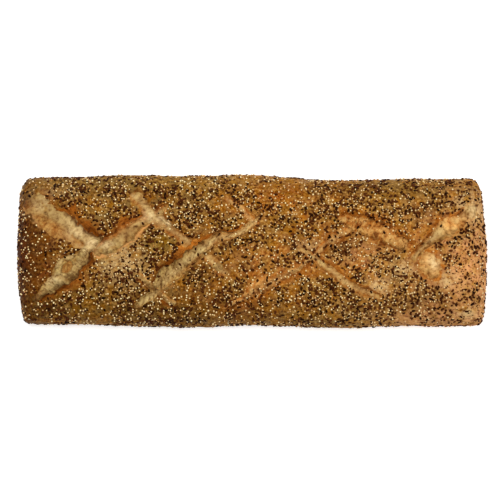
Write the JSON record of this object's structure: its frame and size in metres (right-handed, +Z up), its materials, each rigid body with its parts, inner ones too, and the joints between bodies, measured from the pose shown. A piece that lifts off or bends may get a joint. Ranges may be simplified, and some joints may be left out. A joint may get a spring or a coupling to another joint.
{
  "type": "rustic multigrain loaf",
  "caption": "Long rectangular hearth loaf with a flat base, rounded shoulders, diagonal cuts torn open in a lattice, and seeds baked onto the crust.",
  "frame": {"origin": "under the middle of the loaf, on the plane of its flat base", "axes": "+X along the loaf, to the right as the picture shows it, +Y to the back, which is the picture's upper side, +Z up"},
  "size_m": [0.5616, 0.1834, 0.0834],
  "materials": {
    "crust": "baked wheat crust, matt to faintly satin, brown with golden torn flesh in the cuts"
  },
  "bodies": {
    "root": {"loaf": "crust"}
  },
  "joints": []
}
